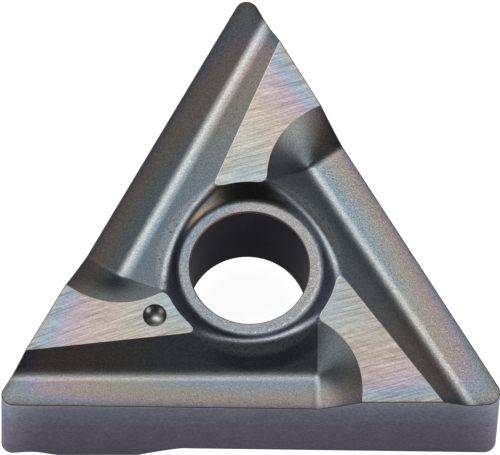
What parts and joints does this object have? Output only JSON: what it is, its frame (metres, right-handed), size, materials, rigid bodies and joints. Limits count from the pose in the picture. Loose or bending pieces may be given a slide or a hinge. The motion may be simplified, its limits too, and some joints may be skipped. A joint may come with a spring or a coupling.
{
  "type": "indexable turning insert",
  "caption": "Triangular double-sided indexable turning insert with a locking bore in a round recess, ground flanks and a chip groove behind each cutting edge.",
  "frame": {"origin": "on the axis of the locking bore, halfway between the two ground faces", "axes": "+Z out of the upper ground face, the one with the index dimple; one corner of the triangle points along +Y"},
  "size_m": [0.016, 0.0139, 0.0048],
  "materials": {
    "carbide": "satin, thinly coated"
  },
  "bodies": {
    "root": {"insert_body": "carbide"}
  },
  "joints": []
}
